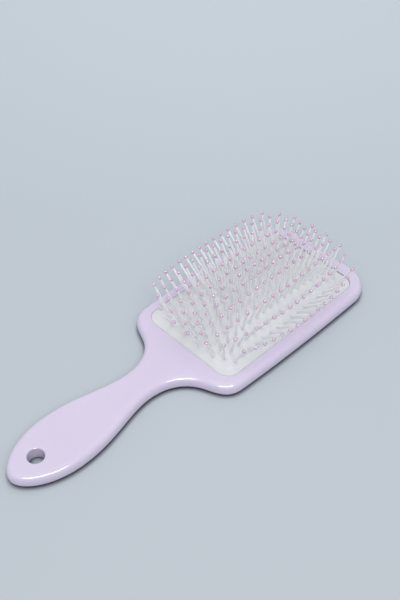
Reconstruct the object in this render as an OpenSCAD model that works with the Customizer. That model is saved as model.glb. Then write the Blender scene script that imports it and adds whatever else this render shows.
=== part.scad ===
// Cushioned paddle hair brush: a moulded handle and paddle with a pocket, an air cushion
// of soft rubber locked into that pocket by a hidden ring, and rows of ball-tipped pins.
// Frame: +X along the brush towards the head, +Z out of the bristle side, back on Z = 0,
// origin under the middle of the brush.

/* [Brush body] */
// Overall length, handle end to head end
body_l = 250; // [235:1:265]
// Width of the head
head_w = 86; // [82:1:92]
// Widest part of the handle
handle_w = 37.6; // [34:0.2:44]
// Narrowest part of the neck
neck_w = 20.4; // [17:0.2:26]
// Thickness of handle and head
body_t = 8.5; // [8:0.5:10]
// How far in from the outline the rounded edges reach
edge_r = 4; // [3:0.25:4.5]
// Diameter of the hanging hole
hole_d = 9.5; // [7:0.5:12]
// Handle end to the centre of the hanging hole
hole_inset = 17.5; // [15:0.5:22]
// Chamfer at both rims of the hanging hole
hole_chamfer = 0.8; // [0.4:0.1:1.2]

/* [Cushion pocket] */
// Length of the opening in the head
opening_l = 114; // [112:1:116]
// Width of the opening in the head
opening_w = 70; // [69:0.5:71]
// Corner radius of the opening
opening_r = 8.5; // [6:0.5:11]
// Head end to the edge of the opening
opening_inset = 10; // [9:0.5:12]
// Thickness of the wall behind the pocket
back_wall = 1.8; // [1.4:0.1:2.2]
// Depth of the groove that locks the cushion's flange
groove_depth = 2.2; // [1.5:0.1:2.6]
// Height of that groove
groove_h = 2.2; // [2:0.1:2.4]

/* [Cushion] */
// Gap between the cushion and the rim of the opening
cushion_gap = 0.3; // [0.2:0.1:0.6]
// Thickness of the rubber
rubber_t = 1.8; // [1.4:0.1:2]
// Rise of the dome from its edge to its middle
dome_rise = 9.8; // [8:0.2:11.6]
// Roundness of the dome across the head
dome_power_w = 2.65; // [2:0.05:3]
// Roundness of the dome along the head
dome_power_l = 2.6; // [2:0.05:3]

/* [Pins] */
// Number of rows across the head
rows = 11; // [9:2:11]
// Pins in a full row
full_row = 18; // [16:1:18]
// Distance between rows
row_pitch = 5.7; // [5.6:0.05:5.75]
// Distance between pins in a row
pin_pitch = 6; // [5.8:0.05:6.1]
// Length from the cushion to the centre of the ball tip
pin_l = 19.6; // [16:0.2:21]
// Pin diameter at the cushion
pin_root_d = 1.7; // [1.4:0.1:1.8]
// Pin diameter at the ball
pin_tip_d = 1.2; // [1:0.1:1.4]
// Diameter of the ball tips
ball_d = 2.4; // [2.2:0.1:2.8]
// Sideways slope of the outermost rows
splay_w = 1.88; // [1.4:0.02:2]
// Lengthways slope of the end pins
splay_l = 0.67; // [0.4:0.01:0.8]

/* [Hidden] */
$fn = 48;

// Ends of the brush
handle_end = -body_l / 2;
head_end = body_l / 2;

// Stations of the half outline: place, curve handle back to the station before it,
// curve handle on to the next one, and the steps of the curve to the next one
outline_stations = [
    // round handle end
    [[handle_end, 0], [0, 0], [0, 0.2 * handle_w], 12],
    // widest part of the handle
    [[handle_end + 36, handle_w / 2], [-22, 0], [22, 0], 10],
    // narrowest part of the neck
    [[handle_end + 89, neck_w / 2], [-16, 0], [12, 0], 8],
    // middle of the flare from the neck into the head
    [[handle_end + 114.4, 0.28 * head_w], [-4.4, -8.6], [4.1, 8.4], 10],
    // shoulder, and the slightly bowed side beyond it
    [[handle_end + 132, head_w / 2 - 1.2], [-12.5, -0.5], [33, 1.5], 8],
    // start and end of the far corner
    [[head_end - 18, head_w / 2 - 0.6], [-32, 0.9], [9.5, -0.2], 10],
    [[head_end, head_w / 2 - 21], [0, 11], [0, 0], 0]
];

// Roundness of the body's edges: 2 is a circle's arc, and more is squarer
edge_power = 2.5;
edge_steps = 5;

// Pocket and cushion
opening_x = head_end - opening_inset - opening_l / 2;
groove_z = back_wall + 1.2;
dome_edge_z = body_t - 0.1;
dome_a = opening_l / 2 - cushion_gap;
dome_b = opening_w / 2 - cushion_gap;
flange_play = 0.1;
flange_reach = groove_depth - 0.3;
cavity_floor = groove_z - 0.5;

// Retaining ring
ring_play = 0.2;
ring_wall = 2.5;
ring_top = 6;

// Pins: a mushroom head under the rubber, the shaft, and a ball dipped over its end
head_r = 1.5;
head_top = 2.1;
head_cone = 0.7;
head_t = 0.6;
ball_grip = 0.6;
hole_play = 0.08;
// How fast the lean grows towards the cushion's edges, and how much it fades in the corners
splay_power_w = 2.3;
splay_power_l = 1.75;
splay_fade_w = 0.92;
splay_fade_l = 1.07;

ZONES = ["outer", "middle", "inner"];
// The ring of pins, counted from the edge, at which each zone starts
zone_start = [0, 1, 3, rows];

function pins_in(row) =
    let(from_middle = abs(row - (rows - 1) / 2))
    full_row - (from_middle % 2 == 0 ? 1 : 0) - (from_middle == (rows - 1) / 2 ? 2 : 0);
function ring_of(row, i) = min(row, rows - 1 - row, i, pins_in(row) - 1 - i);
function in_zone(row, i, zone) =
    ring_of(row, i) >= zone_start[zone] && ring_of(row, i) < zone_start[zone + 1];
function zone_used(row, zone) = min(row, rows - 1 - row) >= zone_start[zone];
function row_name(row, zone, kind) =
    str("row_", row < 9 ? "0" : "", row + 1, "_", ZONES[zone], "_", kind);

// ---- outline of the handle and head ----
function bezier(p, steps) =
    [for (k = [0:steps - 1]) let(t = k / steps, s = 1 - t)
        s * s * s * p[0] + 3 * s * s * t * p[1] + 3 * s * t * t * p[2] + t * t * t * p[3]];

function half_outline() = [
    for (k = [0:len(outline_stations) - 2])
        let(a = outline_stations[k], b = outline_stations[k + 1])
        each bezier([a[0], a[0] + a[2], b[0] + b[1], b[0]], a[3]),
    outline_stations[len(outline_stations) - 1][0]
];

function mirrored(points) = [for (k = [len(points) - 1:-1:1]) [points[k].x, -points[k].y]];
function body_outline() = let(half = half_outline()) concat(half, mirrored(half));

// The outline moved inwards by d, along the mean normal at each point
function inset_outline(pts, d) = let(n = len(pts))
    [for (k = [0:n - 1])
        let(t = pts[(k + 1) % n] - pts[(k + n - 1) % n])
        pts[k] + d * [t.y, -t.x] / norm(t)];

// A slab with fully rounded edges: rings of the outline, inset and raised along a superellipse
module rounded_slab(pts, t, r) {
    share = 2 / edge_power;
    levels = [for (k = [-edge_steps:edge_steps]) let(a = 90 * k / edge_steps)
        [r * (1 - pow(cos(a), share)), t / 2 * (1 + sign(a) * pow(abs(sin(a)), share))]];
    rings = [for (level = levels) inset_outline(pts, level[0])];
    n = len(pts);
    points = [for (k = [0:len(levels) - 1], p = rings[k]) [p.x, p.y, levels[k][1]]];
    last = (len(levels) - 1) * n;
    sides = [for (k = [0:len(levels) - 2], i = [0:n - 1], half = [0, 1]) let(j = (i + 1) % n)
        half == 0 ? [k * n + i, k * n + j, (k + 1) * n + j]
                  : [k * n + i, (k + 1) * n + j, (k + 1) * n + i]];
    // both caps are ladders of quads between the two mirrored halves of the outline
    rungs = [for (i = [0:(n - 1) / 2 - 1]) [i, i + 1, n - i - 1, (n - i) % n]];
    bottom = [for (q = rungs) [q[3], q[2], q[1], q[0]]];
    top = [for (q = rungs) [for (i = q) last + i]];
    caps = [for (q = concat(bottom, top))
        each [[q[0], q[1], q[2]], if (q[3] != q[0]) [q[0], q[2], q[3]]]];
    polyhedron(points, concat(sides, caps), convexity = 6);
}

// ---- the pocket's own shapes ----
// A prism the shape of the opening, grown by d all round, from z0 to z1
module pocket_prism(d, z0, z1) {
    l = opening_l / 2 + d;
    w = opening_w / 2 + d;
    r = opening_r + d;
    translate([opening_x, 0, z0]) linear_extrude(z1 - z0) union() {
        square([2 * l, 2 * (w - r)], center = true);
        square([2 * (l - r), 2 * w], center = true);
        for (sx = [-1, 1], sy = [-1, 1]) translate([sx * (l - r), sy * (w - r)]) circle(r);
    }
}

// Height of the dome above its edge, as a share of its rise
function crown(x, y) =
    max(0, 1 - pow(abs(y) / dome_b, dome_power_w))
    * max(0, 1 - pow(abs(x - opening_x) / dome_a, dome_power_l));
function dome_z(x, y) = dome_edge_z + dome_rise * crown(x, y);

// A block with the dome as its top face, lowered by drop, down to z0
module dome_block(drop, z0) {
    nx = 22;
    ny = 14;
    // the block stands out past the cushion, which is cut from it
    reach = 1;
    ex = dome_a + reach;
    ey = dome_b + reach;
    // stations closer together towards the edges, where the dome curves most
    xs = [for (i = [0:nx]) opening_x + ex * sin(90 * (2 * i / nx - 1))];
    ys = [for (j = [0:ny]) ey * sin(90 * (2 * j / ny - 1))];
    m = ny + 1;
    top = [for (x = xs, y = ys) [x, y, dome_z(x, y) - drop]];
    base = [for (c = [[-1, -1], [1, -1], [1, 1], [-1, 1]]) [opening_x + c.x * ex, c.y * ey, z0]];
    b = len(top);
    top_faces = [for (i = [0:nx - 1], j = [0:ny - 1]) let(c = i * m + j)
        each [[c + m + 1, c + m, c], [c + 1, c + m + 1, c]]];
    walls = [
        [b, b + 1, for (i = [nx:-1:0]) i * m],
        [b + 1, b + 2, for (j = [ny:-1:0]) nx * m + j],
        [b + 2, b + 3, for (i = [0:nx]) i * m + ny],
        [b + 3, b, for (j = [0:ny]) j]
    ];
    // faces are listed clockwise, seen from outside
    wall_faces = [for (w = walls) [w[0], for (k = [len(w) - 1:-1:1]) w[k]]];
    floor_faces = [[b, b + 1, b + 2, b + 3]];
    polyhedron(concat(top, base), concat(top_faces, wall_faces, floor_faces), convexity = 4);
}

// ---- pins ----
function pin_x(row, i) = opening_x + (i - (pins_in(row) - 1) / 2) * pin_pitch;
function pin_y(row) = (row - (rows - 1) / 2) * row_pitch;
// The way a pin leans, as slopes along X and Y: pins fan out towards the cushion's edges
function pin_slope(x, y) =
    let(u = y / dome_b, v = (x - opening_x) / dome_a)
    [sign(v) * splay_l * pow(abs(v), splay_power_l) * (1 - splay_fade_l * u * u),
     sign(u) * splay_w * pow(abs(u), splay_power_w) * (1 - splay_fade_w * v * v)];

// Moves children to a pin's root on the dome, with +Z along the pin
module at_pin(row, i) {
    x = pin_x(row, i);
    y = pin_y(row);
    slope = pin_slope(x, y);
    translate([x, y, dome_z(x, y)])
        rotate([0, atan(norm(slope)), atan2(slope.y, slope.x)]) children();
}

module at_zone_pins(row, zone)
    for (i = [0:pins_in(row) - 1]) if (in_zone(row, i, zone)) at_pin(row, i) children();

module pin_shape() {
    head_bottom = -head_top - head_cone - head_t;
    rotate_extrude() polygon([
        [0, head_bottom], [head_r, head_bottom], [head_r, head_bottom + head_t],
        [pin_root_d / 2, -head_top], [pin_root_d / 2, 0],
        [pin_tip_d / 2, pin_l - ball_d / 2 + ball_grip], [0, pin_l - ball_d / 2 + ball_grip]
    ]);
}

module ball_shape() difference() {
    translate([0, 0, pin_l]) sphere(ball_d / 2);
    pin_shape();
}

// ---- sub-parts ----
// The hanging hole's own shape: a straight bore with a chamfer at each rim
module hanging_bore() {
    r = hole_d / 2;
    over = 1;
    rotate_extrude() polygon([
        [0, -over], [r + hole_chamfer + over, -over], [r, hole_chamfer],
        [r, body_t - hole_chamfer], [r + hole_chamfer + over, body_t + over], [0, body_t + over]
    ]);
}

module paddle_body() color([0.84, 0.79, 0.90]) difference() {
    rounded_slab(body_outline(), body_t, edge_r);
    pocket_prism(0, back_wall, body_t + 1);
    pocket_prism(groove_depth, groove_z, groove_z + groove_h);
    translate([handle_end + hole_inset, 0, 0]) hanging_bore();
}

module retaining_ring() color([0.93, 0.93, 0.91]) difference() {
    outer = -cushion_gap - rubber_t - ring_play;
    pocket_prism(outer, back_wall, ring_top);
    pocket_prism(outer - ring_wall, back_wall - 1, ring_top + 1);
}

module cushion() color([0.87, 0.88, 0.88]) difference() {
    union() {
        intersection() {
            dome_block(0, groove_z + flange_play);
            pocket_prism(-cushion_gap, 0, body_t + 2 * dome_rise);
        }
        pocket_prism(flange_reach, groove_z + flange_play, groove_z + groove_h - flange_play);
    }
    intersection() {
        dome_block(rubber_t, cavity_floor);
        pocket_prism(-cushion_gap - rubber_t, 0, body_t + 2 * dome_rise);
    }
    for (row = [0:rows - 1], i = [0:pins_in(row) - 1]) at_pin(row, i)
        translate([0, 0, -2 * rubber_t]) cylinder(r = pin_root_d / 2 + hole_play, h = 4 * rubber_t);
}

module pin_row(row, zone) color([0.92, 0.93, 0.95]) at_zone_pins(row, zone) pin_shape();

module tip_row(row, zone) color([0.86, 0.66, 0.84]) at_zone_pins(row, zone) ball_shape();

paddle_body();
retaining_ring();
cushion();
for (row = [0:rows - 1], zone = [0:2]) if (zone_used(row, zone)) {
    pin_row(row, zone);
    tip_row(row, zone);
}
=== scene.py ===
"""Looks of a cushioned paddle hair brush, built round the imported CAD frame.

Lengths are in millimetres until a mesh, a light or the camera is made. The frame has +X along the
brush towards the head, +Z out of the bristle side and the brush's back on Z = 0. Lengths inside
materials are in metres.
"""
import math

import bmesh
import bpy
from mathutils import Matrix, Vector


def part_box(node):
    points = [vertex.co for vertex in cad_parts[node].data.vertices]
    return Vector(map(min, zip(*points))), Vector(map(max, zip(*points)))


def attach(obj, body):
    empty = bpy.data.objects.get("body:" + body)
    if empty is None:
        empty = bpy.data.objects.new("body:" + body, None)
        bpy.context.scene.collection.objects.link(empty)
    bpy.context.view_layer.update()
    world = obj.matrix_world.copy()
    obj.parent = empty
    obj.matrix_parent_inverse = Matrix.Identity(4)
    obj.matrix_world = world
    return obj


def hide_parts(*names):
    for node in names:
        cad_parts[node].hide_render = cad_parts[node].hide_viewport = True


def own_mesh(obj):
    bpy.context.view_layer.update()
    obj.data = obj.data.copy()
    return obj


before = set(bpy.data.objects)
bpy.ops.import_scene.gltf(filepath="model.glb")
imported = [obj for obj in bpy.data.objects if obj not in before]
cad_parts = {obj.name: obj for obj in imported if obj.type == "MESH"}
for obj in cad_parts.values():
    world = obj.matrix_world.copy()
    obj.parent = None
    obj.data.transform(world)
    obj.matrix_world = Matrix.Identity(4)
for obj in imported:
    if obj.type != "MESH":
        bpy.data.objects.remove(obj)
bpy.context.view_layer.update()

MM = 0.001


def box_mm(node):
    """The low and high corners of a node's box, in millimetres."""
    low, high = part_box(node)
    return [v / MM for v in low], [v / MM for v in high]


# ---- driving dimensions, from the frame ----
body_low, body_high = box_mm("paddle_body")
cushion_low, cushion_high = box_mm("cushion")
HANDLE_END, HEAD_END = body_low[0], body_high[0]
HEAD_W = body_high[1] - body_low[1]
BODY_T = body_high[2]
DOME_TOP = cushion_high[2]
OPENING_X = (cushion_low[0] + cushion_high[0]) / 2

# ---- dimensions of the design that the boxes don't give ----
HANDLE_W = 37.6
NECK_W = 20.4
EDGE_R = 4
EDGE_POWER = 2.5
FLAT_MARGIN = 0.5
HOLE_R = 4.75
HOLE_X = HANDLE_END + 17.5
HOLE_FILLET = 0.8
OPENING_L, OPENING_W, OPENING_R = 114, 70, 8.5
LIP_FILLET = 0.2
BACK_WALL = 1.8
GROOVE_LOW, GROOVE_HIGH, GROOVE_DEPTH = 3.0, 5.2, 2.2

CUSHION_GAP = 0.3
# The rubber stands close to the rim on three sides and leaves a gap at the far end
SNUG_GAP, END_GAP = 0.05, 0.9
RUBBER_T = 1.8
DOME_EDGE = BODY_T - 0.1
DOME_RISE = DOME_TOP - DOME_EDGE
DOME_A = OPENING_L / 2 - CUSHION_GAP
DOME_B = OPENING_W / 2 - CUSHION_GAP
DOME_POWER_ALONG, DOME_POWER_ACROSS = 2.6, 2.65
EDGE_ROLL = 0.35
DIMPLE_DEPTH, DIMPLE_W = 0.5, 1.2
FLANGE_LOW, FLANGE_HIGH, FLANGE_REACH, FLANGE_SOFT = 3.1, 5.1, 1.9, 0.4

ROWS, FULL_ROW = 11, 18
MIDDLE_ROW = (ROWS - 1) / 2
ROW_PITCH, PIN_PITCH = 5.7, 6.0
PIN_L = 19.6
PIN_ROOT_R, PIN_TIP_R, BALL_R = 0.85, 0.6, 1.2
# The pin's mushroom head: radius, depth of its top under the rubber, cone and rim
HEAD_R, HEAD_TOP, HEAD_CONE, HEAD_T = 1.5, 2.1, 0.7, 0.6
# Sideways lean of the outermost pins per unit of height, how fast it grows from the middle
# out, and how much of it is lost towards the corners
LEAN_ALONG, LEAN_ALONG_POWER, LEAN_ALONG_LOSS = 0.67, 1.75, 1.07
LEAN_ACROSS, LEAN_ACROSS_POWER, LEAN_ACROSS_LOSS = 1.88, 2.3, 0.92
# Zones by how many pins lie between a pin and the edge of the field
ZONES = {"outer": (0, 1), "middle": (1, 3), "inner": (3, ROWS)}

CAMERA_PLACE = (-237.4, -256.4, 397.2 + BODY_T / 2)
CAMERA_TARGET = (37.4, 25.0, BODY_T / 2)
CAMERA_LENS, CAMERA_SENSOR = 54, 36
WORLD_COLOUR, WORLD_STRENGTH = (0.95, 0.97, 1.0, 1), 0.62
FLOOR_REACH, FLOOR_STEPS, FLOOR_Z = 3000, 24, -0.05


# ---- small mesh tools ----
def make_object(name, verts, faces, smooth_angle=40):
    """A mesh object from points in millimetres, shaded smooth up to an angle in degrees."""
    mesh = bpy.data.meshes.new(name)
    mesh.from_pydata([[c * MM for c in v] for v in verts], [], faces)
    obj = bpy.data.objects.new(name, mesh)
    bpy.context.scene.collection.objects.link(obj)
    tidy_mesh(mesh, smooth_angle)
    return obj


def tidy_mesh(mesh, smooth_angle=40):
    """Turns the faces outwards and shades them smooth, with sharp edges past the angle."""
    bm = bmesh.new()
    bm.from_mesh(mesh)
    bmesh.ops.recalc_face_normals(bm, faces=bm.faces)
    bm.to_mesh(mesh)
    bm.free()
    mesh.polygons.foreach_set("use_smooth", [True] * len(mesh.polygons))
    mesh.set_sharp_from_angle(angle=math.radians(smooth_angle))


class Loops:
    """Collects closed loops of points and joins neighbours with quads."""

    def __init__(self):
        self.verts = []
        self.faces = []

    def add(self, points):
        start = len(self.verts)
        self.verts += points
        return list(range(start, len(self.verts)))

    def join(self, a, b):
        n = len(a)
        self.faces += [(a[i], a[(i + 1) % n], b[(i + 1) % n], b[i]) for i in range(n)]

    def chain(self, stack):
        """Adds each loop of points in the stack and joins it to the one before."""
        ids = [self.add(points) for points in stack]
        for a, b in zip(ids, ids[1:]):
            self.join(a, b)
        return ids


# ---- outline of the body ----
def bezier(p, steps):
    """Points along a cubic curve, without its last one."""
    out = []
    for k in range(steps):
        t = k / steps
        s = 1 - t
        weights = (s**3, 3 * s * s * t, 3 * s * t * t, t**3)
        out.append(tuple(sum(w * q[i] for w, q in zip(weights, p)) for i in (0, 1)))
    return out


# Stations of half the outline: place, curve handle back, curve handle on, steps to the next
STATIONS = [
    ((HANDLE_END, 0), (0, 0), (0, 0.2 * HANDLE_W), 28),
    ((HANDLE_END + 36, HANDLE_W / 2), (-22, 0), (22, 0), 22),
    ((HANDLE_END + 89, NECK_W / 2), (-16, 0), (12, 0), 16),
    ((HANDLE_END + 114.4, 0.28 * HEAD_W), (-4.4, -8.6), (4.1, 8.4), 18),
    ((HANDLE_END + 132, HEAD_W / 2 - 1.2), (-12.5, -0.5), (33, 1.5), 20),
    ((HEAD_END - 18, HEAD_W / 2 - 0.6), (-32, 0.9), (9.5, -0.2), 20),
    ((HEAD_END, HEAD_W / 2 - 21), (0, 11), (0, 0), 0),
]


def body_outline():
    """The body seen from above: half of it, and its mirror image on the way back."""
    half = []
    for (a, _, after, steps), (b, before, _, _) in zip(STATIONS, STATIONS[1:]):
        half += bezier([a, (a[0] + after[0], a[1] + after[1]),
                        (b[0] + before[0], b[1] + before[1]), b], steps)
    half.append(STATIONS[-1][0])
    return half + [(x, -y) for x, y in reversed(half[1:])]


def inset(points, d):
    """A closed outline moved in by a distance."""
    n = len(points)
    out = []
    for k in range(n):
        ax, ay = points[k - 1]
        bx, by = points[(k + 1) % n]
        length = math.hypot(bx - ax, by - ay)
        tx, ty = (bx - ax) / length, (by - ay) / length
        out.append((points[k][0] + d * ty, points[k][1] - d * tx))
    return out


def at_height(points, z):
    return [(x, y, z) for x, y in points]


def rounded_rectangle(half_l, half_w, r, corner_steps=10, spacing=None):
    """Points round a rectangle with round corners, about OPENING_X, anticlockwise.

    With a spacing, each side has points too, as many for any size of rectangle.
    """
    out = []
    corners = [(1, 1, 0), (-1, 1, 90), (-1, -1, 180), (1, -1, 270)]
    for i, (sx, sy, start) in enumerate(corners):
        cx, cy = OPENING_X + sx * (half_l - r), sy * (half_w - r)
        for k in range(corner_steps + 1):
            a = math.radians(start + 90 * k / corner_steps)
            out.append((cx + r * math.cos(a), cy + r * math.sin(a)))
        if spacing:
            side = OPENING_L - 2 * OPENING_R if i % 2 == 0 else OPENING_W - 2 * OPENING_R
            steps = round(side / spacing)
            nx, ny, turn = corners[(i + 1) % 4]
            a = math.radians(turn)
            ex = OPENING_X + nx * (half_l - r) + r * math.cos(a)
            ey = ny * (half_w - r) + r * math.sin(a)
            x0, y0 = out[-1]
            out += [(x0 + (ex - x0) * k / steps, y0 + (ey - y0) * k / steps)
                    for k in range(1, steps)]
    return out


def opening_loop(grow, z):
    """The outline of the head's opening, grown by a distance, at a height."""
    return at_height(rounded_rectangle(OPENING_L / 2 + grow, OPENING_W / 2 + grow,
                                       OPENING_R + grow), z)


def hole_loop(r, z):
    """A circle about the hanging hole's axis, at a height."""
    steps = 64
    angles = [2 * math.pi * k / steps for k in range(steps)]
    return [(HOLE_X + r * math.cos(a), r * math.sin(a), z) for a in angles]


def quarter(r, steps):
    """A quarter round of radius r: (distance out, drop) from the flat to the wall."""
    out = []
    for k in range(steps + 1):
        a = math.pi / 2 * k / steps
        out.append((r * (1 - math.sin(a)), r * (1 - math.cos(a))))
    return out


def fill_between(obj, rims):
    """Fills a flat face bounded by loops of vertex numbers; loops after the first are holes."""
    bm = bmesh.new()
    bm.from_mesh(obj.data)
    bm.verts.ensure_lookup_table()
    edges = []
    for rim in rims:
        n = len(rim)
        edges += [bm.edges.get((bm.verts[rim[i]], bm.verts[rim[(i + 1) % n]]))
                  for i in range(n)]
    bmesh.ops.triangle_fill(bm, use_beauty=True, use_dissolve=False, edges=edges)
    bm.to_mesh(obj.data)
    bm.free()


def edge_stack():
    """Loops round the body's outer edge, from the back face to the front face."""
    outline = body_outline()
    steps = 12
    share = 2 / EDGE_POWER
    flat = inset(outline, EDGE_R + FLAT_MARGIN)
    stack = [at_height(flat, 0)]
    for k in range(-steps, steps + 1):
        a = math.pi / 2 * k / steps
        back = EDGE_R * (1 - math.cos(a) ** share) if abs(k) < steps else EDGE_R
        z = BODY_T / 2 * (1 + math.copysign(abs(math.sin(a)) ** share, k))
        stack.append(at_height(inset(outline, back), z))
    return stack + [at_height(flat, BODY_T)]


def hole_stack():
    """Loops through the hanging hole, from the front face to the back face."""
    rim = quarter(HOLE_FILLET, 6)
    flat = HOLE_R + HOLE_FILLET + FLAT_MARGIN
    stack = [hole_loop(flat, BODY_T)]
    stack += [hole_loop(HOLE_R + out, BODY_T - drop) for out, drop in rim]
    stack += [hole_loop(HOLE_R + out, drop) for out, drop in reversed(rim)]
    return stack + [hole_loop(flat, 0)]


def pocket_stack():
    """Loops down the pocket's wall and round its groove, from the front face to its floor."""
    stack = [opening_loop(LIP_FILLET + FLAT_MARGIN, BODY_T)]
    stack += [opening_loop(out, BODY_T - drop) for out, drop in quarter(LIP_FILLET, 5)]
    groove = [(0, GROOVE_HIGH), (GROOVE_DEPTH, GROOVE_HIGH), (GROOVE_DEPTH, GROOVE_LOW),
              (0, GROOVE_LOW)]
    return stack + [opening_loop(grow, z) for grow, z in groove + [(0, BACK_WALL)]]


def build_body():
    """Handle and head in one, with soft edges, a filleted hanging hole and the pocket."""
    loops = Loops()
    edge = loops.chain(edge_stack())
    hole = loops.chain(hole_stack())
    pocket = loops.chain(pocket_stack())
    obj = make_object("paddle_shell", loops.verts, loops.faces)
    fill_between(obj, [edge[-1], hole[0], pocket[0]])
    fill_between(obj, [edge[0], hole[-1]])
    fill_between(obj, [pocket[-1]])
    tidy_mesh(obj.data)
    return obj


# ---- cushion ----
def dome_z(x, y):
    """Height of the rubber's outer face, before its edge is rolled and its holes dimpled."""
    across = max(0.0, 1 - (abs(y) / DOME_B) ** DOME_POWER_ACROSS)
    along = max(0.0, 1 - (abs(x - OPENING_X) / DOME_A) ** DOME_POWER_ALONG)
    return DOME_EDGE + DOME_RISE * across * along


def pins_in(row):
    """Every second row has a pin less, and the two end rows have two fewer than full ones."""
    from_middle = abs(row - MIDDLE_ROW)
    staggered = 1 if from_middle % 2 == 0 else 0
    shortened = 2 if from_middle == MIDDLE_ROW else 0
    return FULL_ROW - staggered - shortened


def pin_places():
    """Yields (row, number in the row, x, y) of each pin's root."""
    for row in range(ROWS):
        n = pins_in(row)
        y = (row - MIDDLE_ROW) * ROW_PITCH
        for i in range(n):
            yield row, i, OPENING_X + (i - (n - 1) / 2) * PIN_PITCH, y


def dimple(x, y, roots):
    """How far the rubber dips round the nearest pin roots."""
    drop = 0.0
    row = round(y / ROW_PITCH + MIDDLE_ROW)
    for near in (row - 1, row, row + 1):
        for px, py in roots.get(near, ()):
            d2 = (x - px) ** 2 + (y - py) ** 2
            if d2 < (3 * DIMPLE_W) ** 2:
                drop += DIMPLE_DEPTH * math.exp(-d2 / DIMPLE_W**2)
    return drop


def build_dome():
    """The cushion's dome: close rings of points from its rolled edge to the middle."""
    roots = {}
    for row, _, x, y in pin_places():
        roots.setdefault(row, []).append((x, y))
    half_l = OPENING_L / 2 - SNUG_GAP
    half_w = OPENING_W / 2 - SNUG_GAP
    corner_steps, spacing = 16, 0.7
    roll_steps = 6
    border, border_step = 6.0, 0.6
    shrink_steps = 48
    fade = 6

    def flat_ring(d, scale=1):
        """The rim's outline moved in by d, then scaled, and drawn back at the far end."""
        outline = rounded_rectangle(half_l - d, half_w - d, OPENING_R - d, corner_steps, spacing)
        for x, y in outline:
            x, y = (x - OPENING_X) * scale, y * scale
            pull = max(0, x / half_l) ** fade * (1 - abs(y / half_w) ** fade)
            yield OPENING_X + x - (END_GAP - SNUG_GAP) * pull, y

    def ring(d, scale, drop):
        return [(x, y, dome_z(x, y) - drop - dimple(x, y, roots)) for x, y in flat_ring(d, scale)]

    wall_foot, wall_head = FLANGE_HIGH - 0.2, DOME_EDGE - EDGE_ROLL - 0.3
    stack = [at_height(flat_ring(0), wall_foot), at_height(flat_ring(0), wall_head)]
    for k in range(roll_steps + 1):
        a = math.pi / 2 * k / roll_steps
        stack.append(ring(EDGE_ROLL * (1 - math.cos(a)), 1, EDGE_ROLL * (1 - math.sin(a))))
    d = EDGE_ROLL
    while d < border:
        d += border_step
        stack.append(ring(d, 1, 0))
    stack += [ring(d, 1 - k / shrink_steps, 0) for k in range(1, shrink_steps)]

    loops = Loops()
    last = loops.chain(stack)[-1]
    top = dome_z(OPENING_X, 0) - dimple(OPENING_X, 0, roots)
    centre = loops.add([(OPENING_X, 0, top)])[0]
    loops.faces += [(last[i], last[(i + 1) % len(last)], centre) for i in range(len(last))]
    return make_object("cushion_dome", loops.verts, loops.faces, 60)


def build_flange():
    """The cushion's hidden edge, locked in the pocket's groove."""
    inner = -CUSHION_GAP - RUBBER_T
    soft_reach = FLANGE_REACH - FLANGE_SOFT
    profile = [(inner, FLANGE_LOW), (soft_reach, FLANGE_LOW),
               (FLANGE_REACH, FLANGE_LOW + FLANGE_SOFT),
               (FLANGE_REACH, FLANGE_HIGH - FLANGE_SOFT),
               (soft_reach, FLANGE_HIGH), (inner, FLANGE_HIGH)]
    loops = Loops()
    rings = loops.chain([opening_loop(grow, z) for grow, z in profile])
    loops.join(rings[-1], rings[0])
    return make_object("cushion_flange", loops.verts, loops.faces)


# ---- pins ----
def pin_matrix(x, y):
    """From a pin's own frame, root at the origin and +Z along the pin, to the brush's."""
    u, v = y / DOME_B, (x - OPENING_X) / DOME_A
    lean_x = (math.copysign(LEAN_ALONG * abs(v) ** LEAN_ALONG_POWER, v)
              * (1 - LEAN_ALONG_LOSS * u * u))
    lean_y = (math.copysign(LEAN_ACROSS * abs(u) ** LEAN_ACROSS_POWER, u)
              * (1 - LEAN_ACROSS_LOSS * v * v))
    axis = Vector((lean_x, lean_y, 1)).normalized()
    turn = Vector((0, 0, 1)).rotation_difference(axis).to_matrix().to_4x4()
    return Matrix.Translation((x, y, dome_z(x, y))) @ turn


def revolve(loops, profile, matrix, segments):
    """Adds a closed round solid: profile is (radius, height) and starts and ends on the axis."""
    angles = [2 * math.pi * k / segments for k in range(segments)]
    rings = []
    for r, z in profile:
        around = angles if r else [0]
        points = [Vector((r * math.cos(a), r * math.sin(a), z)) for a in around]
        rings.append(loops.add([tuple(matrix @ point) for point in points]))
    for a, b in zip(rings, rings[1:]):
        if len(a) == 1:
            loops.faces += [(a[0], b[(i + 1) % segments], b[i]) for i in range(segments)]
        elif len(b) == 1:
            loops.faces += [(a[i], a[(i + 1) % segments], b[0]) for i in range(segments)]
        else:
            loops.join(a, b)


def shaft_profile():
    """Half the section of a pin: a mushroom head under the rubber and a tapered shaft."""
    bottom = -HEAD_TOP - HEAD_CONE - HEAD_T
    end = PIN_L - BALL_R / 2
    edge = 0.12
    blend = 0.2
    points = [(0, bottom), (HEAD_R - edge, bottom), (HEAD_R, bottom + edge),
              (HEAD_R, bottom + HEAD_T - edge), (PIN_ROOT_R + blend, -HEAD_TOP - blend / 2),
              (PIN_ROOT_R, -HEAD_TOP + blend)]
    for share in (0.0, 0.25, 0.5, 0.75, 1.0):
        points.append((PIN_ROOT_R + (PIN_TIP_R - PIN_ROOT_R) * share, end * share))
    return points + [(0, end)]


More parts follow.
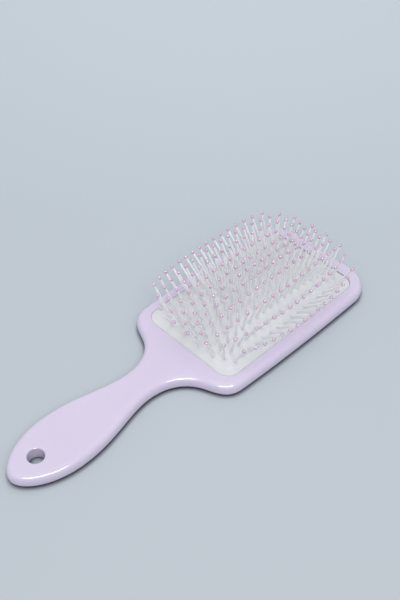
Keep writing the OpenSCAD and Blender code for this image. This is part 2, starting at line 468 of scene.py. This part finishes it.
def ball_profile():
    """Half the section of a ball, with a short neck that runs down onto the shaft."""
    neck_r = PIN_TIP_R + 0.04
    neck_flare = 0.03
    neck_z = PIN_L - BALL_R
    collar_share = 0.64  # radius where the ball meets its neck, as a share of its own
    first = math.pi - math.asin(collar_share)
    steps = 11
    points = [(0, neck_z), (neck_r, neck_z), (neck_r + neck_flare, neck_z)]
    for k in range(steps):
        a = first * (1 - k / steps)
        points.append((BALL_R * math.sin(a), PIN_L + BALL_R * math.cos(a)))
    return points + [(0, PIN_L + BALL_R)]


def build_pins(zone):
    """The shafts and the balls of one zone, as two objects."""
    start, stop = ZONES[zone]
    shafts, balls = Loops(), Loops()
    for row, i, x, y in pin_places():
        ring = min(row, ROWS - 1 - row, i, pins_in(row) - 1 - i)
        if start <= ring < stop:
            matrix = pin_matrix(x, y)
            revolve(shafts, shaft_profile(), matrix, 12)
            revolve(balls, ball_profile(), matrix, 16)
    return (make_object(f"{zone}_pin_shafts", shafts.verts, shafts.faces, 50),
            make_object(f"{zone}_pin_balls", balls.verts, balls.faces, 60))


# ---- materials ----
WHITE = (1, 1, 1)


class Nodes:
    """A node-based material with short ways to add and link nodes."""

    def __init__(self, name):
        self.material = bpy.data.materials.new(name)
        self.material.use_nodes = True
        self.tree = self.material.node_tree
        self.shader = self.tree.nodes["Principled BSDF"]
        self.coords = self.add("ShaderNodeTexCoord").outputs["Object"]

    def add(self, kind, **values):
        """A new node; a value goes to the input of that name, or else to the node's property."""
        node = self.tree.nodes.new(kind)
        for key, value in values.items():
            if key in node.inputs:
                node.inputs[key].default_value = value
            else:
                setattr(node, key, value)
        return node

    def link(self, a, b):
        self.tree.links.new(a, b)

    def noise(self, scale, detail):
        node = self.add("ShaderNodeTexNoise", Scale=scale, Detail=detail, Roughness=0.5)
        self.link(self.coords, node.inputs["Vector"])
        return node.outputs["Fac"]

    def ramp(self, value, stops):
        """A colour for a value, from stops of (position, colour)."""
        node = self.add("ShaderNodeValToRGB")
        elements = node.color_ramp.elements
        while len(elements) < len(stops):
            elements.new(0.5)
        for element, (position, colour) in zip(elements, stops):
            element.position = position
            element.color = (*colour, 1)
        self.link(value, node.inputs["Fac"])
        return node.outputs["Color"]

    def painted_shade(self, distance, stops):
        """Painted shade: a colour that darkens as the surface is closed in by its surroundings
        within a distance.
        """
        node = self.add("ShaderNodeAmbientOcclusion", Distance=distance, samples=8)
        return self.ramp(node.outputs["AO"], stops)

    def multiply(self, a, b):
        node = self.add("ShaderNodeMix", data_type="RGBA", blend_type="MULTIPLY")
        node.inputs["Factor"].default_value = 1
        self.link(a, node.inputs["A"])
        self.link(b, node.inputs["B"])
        return node.outputs["Result"]

    def spread(self, value, low, high, start=0.0, stop=1.0):
        """The value's stretch from start to stop, spread over low to high."""
        node = self.add("ShaderNodeMapRange")
        limits = {"From Min": start, "From Max": stop, "To Min": low, "To Max": high}
        for name, limit in limits.items():
            node.inputs[name].default_value = limit
        self.link(value, node.inputs["Value"])
        return node.outputs["Result"]

    def bump(self, value, strength, distance):
        node = self.add("ShaderNodeBump", Strength=strength, Distance=distance)
        self.link(value, node.inputs["Height"])
        self.link(node.outputs["Normal"], self.shader.inputs["Normal"])

    def set(self, **values):
        for key, value in values.items():
            self.shader.inputs[key.replace("_", " ")].default_value = value

    def mottle(self, scale, detail, low, high):
        """A colour that drifts between two close shades."""
        return self.ramp(self.noise(scale, detail), [(0.3, low), (0.7, high)])

    def paint(self, colour):
        self.link(colour, self.shader.inputs["Base Color"])

    def grain(self, scale, detail, low, high):
        """A roughness that drifts between two values."""
        self.link(self.spread(self.noise(scale, detail), low, high),
                  self.shader.inputs["Roughness"])


def lilac_plastic():
    """Glossy moulded plastic: even colour, faint flow marks, a fine orange peel, and painted
    shade darkening its crevices and gaps.
    """
    m = Nodes("lilac_plastic")
    m.set(IOR=1.5, Coat_Weight=0.9, Coat_Roughness=0.045, Subsurface_Weight=0.12,
          Subsurface_Scale=0.004, Subsurface_Radius=(1.0, 0.8, 1.0))
    colour = m.mottle(18, 2, (0.615, 0.55, 0.70), (0.645, 0.575, 0.73))
    # Painted shade: the colour goes dark in narrow gaps, such as round the cushion and in the
    # pocket.
    crevice_shade = m.painted_shade(0.0015, [(0.08, (0.03, 0.02, 0.04)), (0.34, WHITE)])
    m.paint(m.multiply(colour, crevice_shade))
    m.grain(60, 4, 0.2, 0.28)
    m.bump(m.noise(900, 2), 0.012, 0.0002)
    return m.material


def cushion_rubber():
    """Soft off-white rubber: slightly translucent, satin, with a faint mottle."""
    m = Nodes("cushion_rubber")
    m.set(IOR=1.45, Subsurface_Weight=0.5, Subsurface_Scale=0.006,
          Subsurface_Radius=(1.0, 0.95, 0.9))
    m.paint(m.mottle(30, 3, (0.66, 0.665, 0.68), (0.71, 0.715, 0.73)))
    m.grain(120, 4, 0.42, 0.56)
    m.bump(m.noise(1400, 3), 0.12, 0.0002)
    return m.material


def frosted_nylon():
    """Translucent nylon pins: light passes through, blurred by a frosted skin."""
    m = Nodes("frosted_nylon")
    m.set(IOR=1.5, Transmission_Weight=0.18, Subsurface_Weight=0.4, Subsurface_Scale=0.0005,
          Subsurface_Radius=(1.0, 1.0, 1.0))
    m.paint(m.mottle(200, 2, (0.91, 0.91, 0.95), (0.95, 0.95, 0.98)))
    m.grain(500, 3, 0.28, 0.42)
    m.bump(m.noise(2500, 2), 0.1, 0.0001)
    return m.material


def ball_plastic():
    """Pink-lilac balls, dipped and smooth."""
    m = Nodes("ball_plastic")
    m.set(IOR=1.5, Transmission_Weight=0.4, Subsurface_Weight=0.3, Subsurface_Scale=0.001,
          Coat_Weight=0.8)
    m.paint(m.mottle(300, 2, (0.74, 0.56, 0.72), (0.80, 0.62, 0.78)))
    m.grain(700, 2, 0.22, 0.32)
    m.bump(m.noise(2000, 2), 0.05, 0.0001)
    return m.material


def ring_plastic():
    """Natural white moulding of the hidden retaining ring."""
    m = Nodes("ring_plastic")
    m.paint(m.mottle(40, 2, (0.80, 0.80, 0.78), (0.86, 0.86, 0.84)))
    m.grain(200, 3, 0.45, 0.6)
    m.bump(m.noise(1200, 2), 0.1, 0.0002)
    return m.material


def floor_paint():
    """Pale matt blue-grey, with painted light that makes it lighter towards the far side and a
    painted contact shadow right under the brush.
    """
    m = Nodes("floor_paint")
    m.set(Roughness=0.75)
    # Painted light: the colour grows lighter towards the far side.
    away = m.add("ShaderNodeVectorMath", operation="DOT_PRODUCT")
    away.inputs[1].default_value = (0.7, 0.7, 0)
    m.link(m.coords, away.inputs[0])
    light_sweep = m.ramp(m.spread(away.outputs["Value"], 0, 1, start=-0.25, stop=1.0),
                   [(0, (0.435, 0.47, 0.51)), (0.3, (0.465, 0.515, 0.56)),
                    (1, (0.75, 0.85, 0.90))])
    # Painted contact shadow: the floor goes dark where the brush closes it in.
    contact_shadow = m.painted_shade(0.0035, [(0.25, (0.03, 0.03, 0.05)), (0.8, WHITE)])
    m.paint(m.multiply(light_sweep, contact_shadow))
    return m.material


# ---- camera, light and floor ----
def look_from(obj, place, target):
    """Puts a light or the camera at a place and turns it to a target."""
    obj.location = [c * MM for c in place]
    direction = Vector(target) - Vector(place)
    obj.rotation_euler = direction.to_track_quat("-Z", "Y").to_euler()


def add_camera():
    data = bpy.data.cameras.new("camera")
    data.sensor_width = CAMERA_SENSOR
    data.lens = CAMERA_LENS
    camera = bpy.data.objects.new("camera", data)
    bpy.context.scene.collection.objects.link(camera)
    look_from(camera, CAMERA_PLACE, CAMERA_TARGET)
    bpy.context.scene.camera = camera


def add_area(name, place, target, size, power, diffuse=True, glossy=True):
    """A soft box, in millimetres and watts; diffuse light or mirror image can be left out."""
    data = bpy.data.lights.new(name, "AREA")
    data.shape = "RECTANGLE"
    data.size, data.size_y = size[0] * MM, size[1] * MM
    data.energy = power
    light = bpy.data.objects.new(name, data)
    light.visible_diffuse = diffuse
    light.visible_glossy = glossy
    bpy.context.scene.collection.objects.link(light)
    look_from(light, place, target)


def add_studio():
    """Soft boxes that light without being mirrored, and a strip that only makes highlights."""
    centre = (0, 0, 0)
    add_area("key_softbox", (-400, -560, 790), centre, (950, 260), 3.4, glossy=False)
    add_area("edge_strip", (-370, -500, 805), centre, (850, 160), 8.5, diffuse=False)
    add_area("far_softbox", (350, 200, 800), (120, 0, 0), (350, 350), 0.7, glossy=False)
    add_area("top_softbox", (0, 60, 1000), centre, (700, 700), 3.2, glossy=False)
    world = bpy.data.worlds.new("studio")
    world.use_nodes = True
    background = world.node_tree.nodes["Background"]
    background.inputs["Color"].default_value = WORLD_COLOUR
    background.inputs["Strength"].default_value = WORLD_STRENGTH
    bpy.context.scene.world = world
    bpy.context.scene.view_settings.view_transform = "Standard"


def add_floor():
    ticks = [FLOOR_REACH * (2 * k / FLOOR_STEPS - 1) for k in range(FLOOR_STEPS + 1)]
    verts = [(x, y, FLOOR_Z) for x in ticks for y in ticks]
    n = len(ticks)
    faces = [(i * n + j, (i + 1) * n + j, (i + 1) * n + j + 1, i * n + j + 1)
             for i in range(FLOOR_STEPS) for j in range(FLOOR_STEPS)]
    floor = make_object("studio_floor", verts, faces)
    floor.data.materials.append(floor_paint())


# ---- the scene ----
def finish_piece(obj, body, material, nodes):
    """Gives a piece its material, the body it moves with and the nodes it replaces."""
    obj.data.materials.append(material)
    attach(obj, body)
    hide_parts(*nodes)


def main():
    add_camera()
    add_studio()
    add_floor()
    finish_piece(build_body(), "brush", lilac_plastic(), ["paddle_body"])
    rubber = cushion_rubber()
    dome = build_dome()
    finish_piece(dome, "brush", rubber, ["cushion"])
    finish_piece(build_flange(), "brush", rubber, ["cushion"])
    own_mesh(dome)

    nylon, ball = frosted_nylon(), ball_plastic()
    for zone in ZONES:
        body = f"{zone}_pins"
        names = [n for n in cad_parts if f"_{zone}_" in n]
        shafts, balls = build_pins(zone)
        finish_piece(shafts, body, nylon, [n for n in names if n.endswith("pins")])
        finish_piece(balls, body, ball, [n for n in names if n.endswith("tips")])

    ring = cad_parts["retaining_ring"]
    ring.data.materials.clear()
    ring.data.materials.append(ring_plastic())


main()
